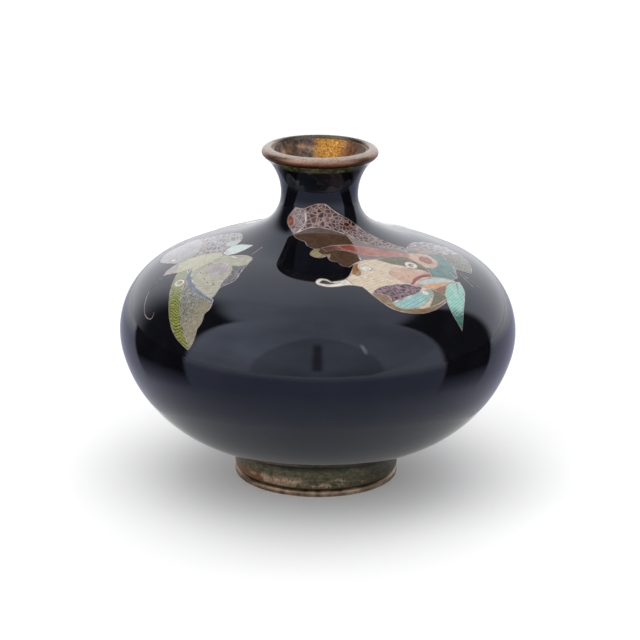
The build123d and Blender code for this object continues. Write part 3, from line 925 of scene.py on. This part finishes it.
def gilt_material():
    """The neck's lining: crackled gold, browner to the right, and dark to the left from stains and painted
    shade.
    """
    material, tree, shader = new_material("gilt_lining")
    place = object_mm(tree)
    side = separate(tree, place)[0]
    stain = noise(tree, place, 0.22, 5.0, 1.2)
    side = plus(tree, side, times(tree, maths(tree, "SUBTRACT", stain, 0.5), 5.0))
    gold = shaded(tree, noise(tree, place, 1.1, 6.0, 1.5), (0.32, 0.46, 0.6), (112, 62, 16), (166, 110, 38),
                  (196, 148, 76))
    copper = shaded(tree, noise(tree, place, 0.8, 5.0), (0.35, 0.52, 0.68), (128, 84, 56), (164, 114, 80),
                    (186, 142, 108))
    stains_and_shade = shaded(tree, noise(tree, place, 0.5, 5.0), (0.35, 0.5, 0.6, 0.7), (72, 60, 56), (122, 102, 92),
                  (160, 122, 84), (206, 136, 60))
    colour = blend(tree, mask(tree, side, 5.0, 9.0), gold, copper)
    colour = blend(tree, mask(tree, side, 9.0, 12.5), colour, rgb(132, 112, 92))
    # Stains and painted shade: the left of the lining is darkened.
    colour = blend(tree, mask(tree, side, 0.2, -2.4), colour, stains_and_shade)
    cracks = voronoi(tree, place, 0.5, feature="DISTANCE_TO_EDGE")
    crack = mask(tree, plus(tree, cracks, times(tree, stain, 0.1)), 0.075, 0.05)
    colour = blend(tree, times(tree, crack, 0.6), colour, rgb(58, 36, 20))
    plug(tree, shader, Base_Color=colour, Metallic=0.8, Roughness=uneven(tree, stain, 0.32, 0.5),
         Normal=relief(tree, stain, 0.1))
    return material


def cloudy_enamel(name, roughness, cloud, places, *shades):
    """Plain enamel of uneven colour. cloud is the scale, detail and distortion of its clouds."""
    material, tree, shader = new_material(name)
    place = object_mm(tree)
    glassy(tree, shader, place, roughness)
    plug(tree, shader, Base_Color=shaded(tree, noise(tree, place, *cloud), places, *shades))
    return material


def silver_material():
    """Fine silver wire, ground flush and a little tarnished."""
    material, tree, shader = new_material("silver_wire")
    place = object_mm(tree)
    tarnish = shaded(tree, noise(tree, place, 0.4, 4.0), (0.35, 0.55, 0.7), (116, 100, 92), (164, 148, 140),
                     (206, 194, 186))
    plug(tree, shader, Base_Color=tarnish, Metallic=0.55, Roughness=0.32,
         Normal=relief(tree, noise(tree, place, 3.0, 2.0), 0.01))
    return material


ENAMELS = {name: enamel(name, *recipe) for name, recipe in ENAMEL_RECIPES.items()}
SILVER = silver_material()


# The vessel


def shell(low, high, depths, steps):
    """The two sides of a shell that follows the wall between two heights, the back one downwards."""
    out, back = (wall_between(depth, low, high, step)[:, :2] for depth, step in zip(depths, steps))
    return out, back[::-1]


def make_ground():
    """The polished ground enamel, from the foot to the green band."""
    sides = shell(FOOT_HEIGHT, LIP_BAND_BOTTOM, (0.0, ENAMEL_THICKNESS), (ROW_STEP, 3 * ROW_STEP))
    return lathe("ground_enamel", np.vstack(sides), ground_material())


def make_lip_band():
    """The narrow olive-green enamel under the lip, with flecks of brighter green."""
    sides = shell(LIP_BAND_BOTTOM, LIP_SEAT, (0.0, ENAMEL_THICKNESS), (ROW_STEP / 2, ROW_STEP))
    green = cloudy_enamel("green_enamel", 0.12, (0.6, 5.0, 0.0), (0.35, 0.52, 0.68),
                          (34, 32, 18), (52, 50, 28), (84, 88, 50))
    return lathe("lip_band", np.vstack(sides), green)


def make_neck_lining():
    """A thin sleeve against the copper, flared at the top where the lip ring holds it."""
    out, back = shell(LINING_BOTTOM, LIP_SEAT, LINING_DEPTHS, (ROW_STEP, ROW_STEP))
    thickness = LINING_DEPTHS[1] - LINING_DEPTHS[0]
    flare = [(LIP_MOUTH_RADIUS, LINING_TOP), (LIP_MOUTH_RADIUS - thickness, LINING_TOP)]
    return lathe("neck_lining", np.vstack([out, flare, back]), gilt_material())


def make_lip_ring():
    """A bead that bulges at the front, is flattened on top and turns down into the mouth."""
    seat, top = LIP_SEAT, VASE_HEIGHT
    bead = natural_curve([(16.3, seat), (17.1, seat + 0.4), (17.4, seat + 1.3), (17.2, top - 1.0),
                          (16.5, top - 0.35), (15.4, top - 0.03), (14.8, top - 0.1),
                          (LIP_MOUTH_RADIUS, LINING_TOP)], 0.15)
    return lathe("lip_ring", np.vstack([bead, [(LINING_SEAT_RADIUS, seat)]]), lip_material())


def make_foot():
    """The foot ring, a little fuller near the body, and the bead under it."""
    low, high = FOOT_RING_BOTTOM, FOOT_RING_TOP
    outer = natural_curve([(24.2, low), (24.55, low + 0.5), (24.85, low + 2.4), (25.0, low + 5.2),
                           (24.98, high - 1.0)], 0.3)
    section = np.vstack([outer, [(24.85, high), (FOOT_RING_HOLE, high), (FOOT_RING_HOLE, low)]])
    lathe("foot_ring", section, foot_material())
    bead = natural_curve([(24.0, 0.0), (24.65, 0.4), (24.8, 1.1), (24.6, 1.75), (24.1, low)], 0.12)
    section = np.vstack([[(21.6, 0.0)], bead, [(21.4, low), (21.4, 0.2)]])
    bronze = metal("foot_bead_bronze", ((106, 90, 74), (142, 124, 104), (172, 152, 130)), (150, 108, 62),
                   0.42, grain=1.2, spun=0.2)
    lathe("foot_bead", section, bronze)


def finish_hidden_nodes():
    """Better materials for the CAD pieces that are seen only through the mouth or from below."""
    copper = metal("raised_copper", ((132, 70, 48), (168, 96, 66), (196, 124, 90)), (70, 40, 30), 0.35)
    blue = cloudy_enamel("counter_enamel", 0.18, (0.3, 6.0, 0.8), (0.34, 0.5, 0.68),
                         (24, 34, 56), (38, 52, 80), (72, 88, 116))
    finishes = {"copper_bowl": copper, "copper_shoulder": copper,
                "inner_counter_enamel": blue, "base_counter_enamel": blue}
    for node, material in finishes.items():
        for material_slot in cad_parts[node].material_slots:
            material_slot.material = material


def make_butterflies():
    drawings = {}
    for name, (azimuth, kind, cells, fields, feelers) in BUTTERFLIES.items():
        if kind not in drawings:
            drawings[kind] = (triangulate(cells, fields), wire_lines(cells, fields, feelers))
        (flat, owned), lines = drawings[kind]
        for cell, (triangles, colours) in owned.items():
            inlay(name, cell, azimuth, flat, triangles, colours)
        wires(name, azimuth, lines)


# Studio

CAMERA_DISTANCE = 0.7788
CAMERA_HEIGHT = 0.2834
CAMERA_PITCH = 16.805
CAMERA_YAW = -0.047
CAMERA_ROLL = 0.755
CAMERA_LENS = 150.97
# Directions in the tent are in degrees: azimuth 0 is the viewer's side and + is to their right.
# A span is (low, high). A patch is one window across and one up: (low, high, soft low, soft high).
# A fade is (where it starts, where it is full). A shade is the share of the light it takes away.
SHEET_SPAN = (-77, 74)
SHEET_SOFT_EDGE = 5
SHEET_LOWEST = -8.0
# Where the sheet's lower edge starts to rise, and how steeply.
SHEET_FOLD = (32.0, 0.42)
# The sheet's brightness at the far left and the far right.
SHEET_LIGHT = (1.95, 0.95)
SHEET_FOOT_FADE = (14.0, 0.0)
SHEET_FOOT_SHADE = 0.2
SEAM_PATCH = ((-3, 3, 4, 4), (7, 45, 6, 10))
SEAM_SHADE = 0.7
GLINT_PATCH = ((29, 31, 2, 2), (29, 41, 6, 8))
GLINT_LIGHT = 3.0
OVERHEAD_FADE = (50.0, 72.0)
# How far the camera's shadow on the sheet reaches, across and up.
CAMERA_REACH = (38.0, 55.0)
CAMERA_SHADE = 0.3
LEFT_GAP_SPAN = (-130, -79)
RIGHT_GAP_SPAN = (76, 118)
GAP_TOP_FADE = (62.0, 52.0)
GAP_SHADE = 0.97
REAR_LIGHT = 1.35
COOL_LIGHT = (0.95, 0.97, 1.02, 1)
OVERHEAD_POWER = 5.0
OVERHEAD_SIZE = 1.6
FLOOR_SIZE = 8.0
FLOOR_COLOUR = (0.91, 0.895, 0.86, 1)
FLOOR_GLOW = 0.08
BELLY_RADIUS = 0.06
# How near and how far the cloths at the sides and the one in front lie, in metres.
SIDE_REACH = (0.05, 8.0)
NEAR_REACH = (0.006, 1.0)
# Over how many rows of its mesh a cloth fades, at its near and its far edge.
SIDE_FADE_ROWS = (5, 1)
NEAR_FADE_ROWS = (12, 6)
DARK = (0.01, 0.01, 0.012, 1)
BLUE_GREY = (0.42, 0.42, 0.52, 1)


def make_camera():
    """A long lens from the front, a little above, looking down at the belly."""
    data = bpy.data.cameras.new("camera")
    data.lens = CAMERA_LENS
    data.sensor_width = 36.0
    data.clip_start = 0.01
    camera = add_object("camera", data)
    camera.matrix_world = (Matrix.Translation((0, -CAMERA_DISTANCE, CAMERA_HEIGHT))
                           @ Matrix.Rotation(math.radians(CAMERA_YAW), 4, "Z")
                           @ Matrix.Rotation(math.radians(90 - CAMERA_PITCH), 4, "X")
                           @ Matrix.Rotation(math.radians(CAMERA_ROLL), 4, "Z"))
    bpy.context.scene.camera = camera


def make_floor():
    """A plain pale floor that runs on to the horizon, lit a little from below."""
    mesh = bpy.data.meshes.new("floor")
    half = FLOOR_SIZE / 2
    mesh.from_pydata([(-half, -half, 0), (half, -half, 0), (half, half, 0), (-half, half, 0)], [],
                     [(0, 1, 2, 3)])
    material, tree, shader = new_material("floor")
    plug(tree, shader, Base_Color=FLOOR_COLOUR, Roughness=0.9, Specular_IOR_Level=0.1,
         Emission_Color=(1, 1, 1, 1), Emission_Strength=FLOOR_GLOW)
    mesh.materials.append(material)
    add_object("floor", mesh)


def dimmed(tree, light, where, amount):
    """A light reduced by a share of itself inside a mask."""
    return times(tree, light, maths(tree, "SUBTRACT", 1.0, times(tree, where, amount)))


def make_studio():
    """A white tent: a bright sheet in front and overhead, unlit gaps at the sides, paler behind."""
    world = bpy.data.worlds.new("studio")
    world.use_nodes = True
    tree = world.node_tree
    direction = add_node(tree, "ShaderNodeTexCoord").outputs["Generated"]
    away = separate(tree, direction)
    front = times(tree, away[1], -1.0)
    azimuth = maths(tree, "DEGREES", maths(tree, "ARCTAN2", away[0], front))
    height = maths(tree, "DEGREES", maths(tree, "ARCSINE", away[2]))

    fold = times(tree, maths(tree, "SUBTRACT", azimuth, SHEET_FOLD[0]), SHEET_FOLD[1])
    lower_edge = maths(tree, "MAXIMUM", fold, SHEET_LOWEST)
    over_edge = mask(tree, maths(tree, "SUBTRACT", height, lower_edge), -1.5, 1.5)
    upright = times(tree, window(tree, azimuth, *SHEET_SPAN, SHEET_SOFT_EDGE, SHEET_SOFT_EDGE), over_edge)
    sheet = maths(tree, "MAXIMUM", upright, mask(tree, height, *OVERHEAD_FADE))
    lit = remap(tree, away[0], -1.0, 1.0, *SHEET_LIGHT)
    lit = times(tree, lit, plus(tree, noise(tree, direction, 1.6, 2.0), 0.5))
    seam, glint = (times(tree, window(tree, azimuth, *across), window(tree, height, *tall))
                   for across, tall in (SEAM_PATCH, GLINT_PATCH))
    lit = dimmed(tree, lit, seam, SEAM_SHADE)
    lit = plus(tree, lit, times(tree, glint, GLINT_LIGHT))
    lit = dimmed(tree, lit, mask(tree, height, *SHEET_FOOT_FADE), SHEET_FOOT_SHADE)
    across, tall = (maths(tree, "POWER", maths(tree, "DIVIDE", angle, reach), 2.0)
                    for angle, reach in zip((azimuth, height), CAMERA_REACH))
    lit = dimmed(tree, lit, mask(tree, plus(tree, across, tall), 1.08, 0.9), CAMERA_SHADE)

    gaps = plus(tree, window(tree, azimuth, *LEFT_GAP_SPAN, 30, 5),
                window(tree, azimuth, *RIGHT_GAP_SPAN, 5, 8))
    rest = dimmed(tree, REAR_LIGHT, times(tree, gaps, mask(tree, height, *GAP_TOP_FADE)), GAP_SHADE)
    strength = plus(tree, dimmed(tree, rest, sheet, 1.0), times(tree, sheet, lit))
    plug(tree, tree.nodes["Background"], Color=COOL_LIGHT, Strength=strength)
    bpy.context.scene.world = world


def make_overhead_light():
    """A wide soft lamp over the vase, which brightens the floor but isn't mirrored in the enamel."""
    data = bpy.data.lights.new("overhead_light", "AREA")
    data.size = OVERHEAD_SIZE
    data.energy = OVERHEAD_POWER
    lamp = add_object("overhead_light", data)
    lamp.location = (0, 0, OVERHEAD_SIZE)
    lamp.visible_glossy = False


def make_cloth(name, span, reach, fade_rows, lift, colour):
    """A soft-edged dark cloth on the floor beside the vase, which only the polished enamel sees: painted
    shade in its reflections.

    It fills the floor that the belly mirrors over a span of directions and a reach of distances."""
    columns, rows = 48, 24
    points, fades = [], []
    for column in range(columns + 1):
        turn = math.radians(span[0] + (span[1] - span[0]) * column / columns)
        for row in range(rows + 1):
            distance = reach[0] * (reach[1] / reach[0]) ** (row / rows)
            points.append((BELLY_RADIUS * math.sin(turn / 2) + distance * math.sin(turn),
                           -BELLY_RADIUS * math.cos(turn / 2) - distance * math.cos(turn), lift))
            side = min(1.0, column / 3, (columns - column) / 3) if span[1] - span[0] < 360 else 1.0
            fades.append(side * min(1.0, row / fade_rows[0], (rows - row) / fade_rows[1]))
    faces = [(i, i + 1, i + rows + 2, i + rows + 1)
             for i in range(columns * (rows + 1)) if i % (rows + 1) < rows]
    mesh = bpy.data.meshes.new(name)
    mesh.from_pydata(points, [], faces)
    mesh.attributes.new("fade", "FLOAT", "POINT").data.foreach_set("value", fades)
    material, tree, shader = new_material(name)
    fade = add_node(tree, "ShaderNodeAttribute", attribute_name="fade").outputs["Fac"]
    plug(tree, shader, Base_Color=colour, Specular_IOR_Level=0.0, Alpha=fade)
    mesh.materials.append(material)
    cloth = add_object(name, mesh)
    cloth.visible_camera = False
    cloth.visible_diffuse = False
    cloth.visible_shadow = False


def use_plain_colours():
    """Show colours as they are, without a film curve."""
    bpy.context.scene.view_settings.view_transform = "Standard"


make_camera()
make_floor()
make_studio()
make_cloth("left_cloth", LEFT_GAP_SPAN, SIDE_REACH, SIDE_FADE_ROWS, 0.0008, DARK)
make_cloth("right_cloth", RIGHT_GAP_SPAN, SIDE_REACH, SIDE_FADE_ROWS, 0.0008, DARK)
# Painted shade: the near cloth darkens the floor round the foot as the belly mirrors it.
make_cloth("near_shade_cloth", (-180, 180), NEAR_REACH, NEAR_FADE_ROWS, 0.0004, BLUE_GREY)
make_overhead_light()
use_plain_colours()
make_ground()
make_lip_band()
make_neck_lining()
make_lip_ring()
make_foot()
finish_hidden_nodes()
make_butterflies()
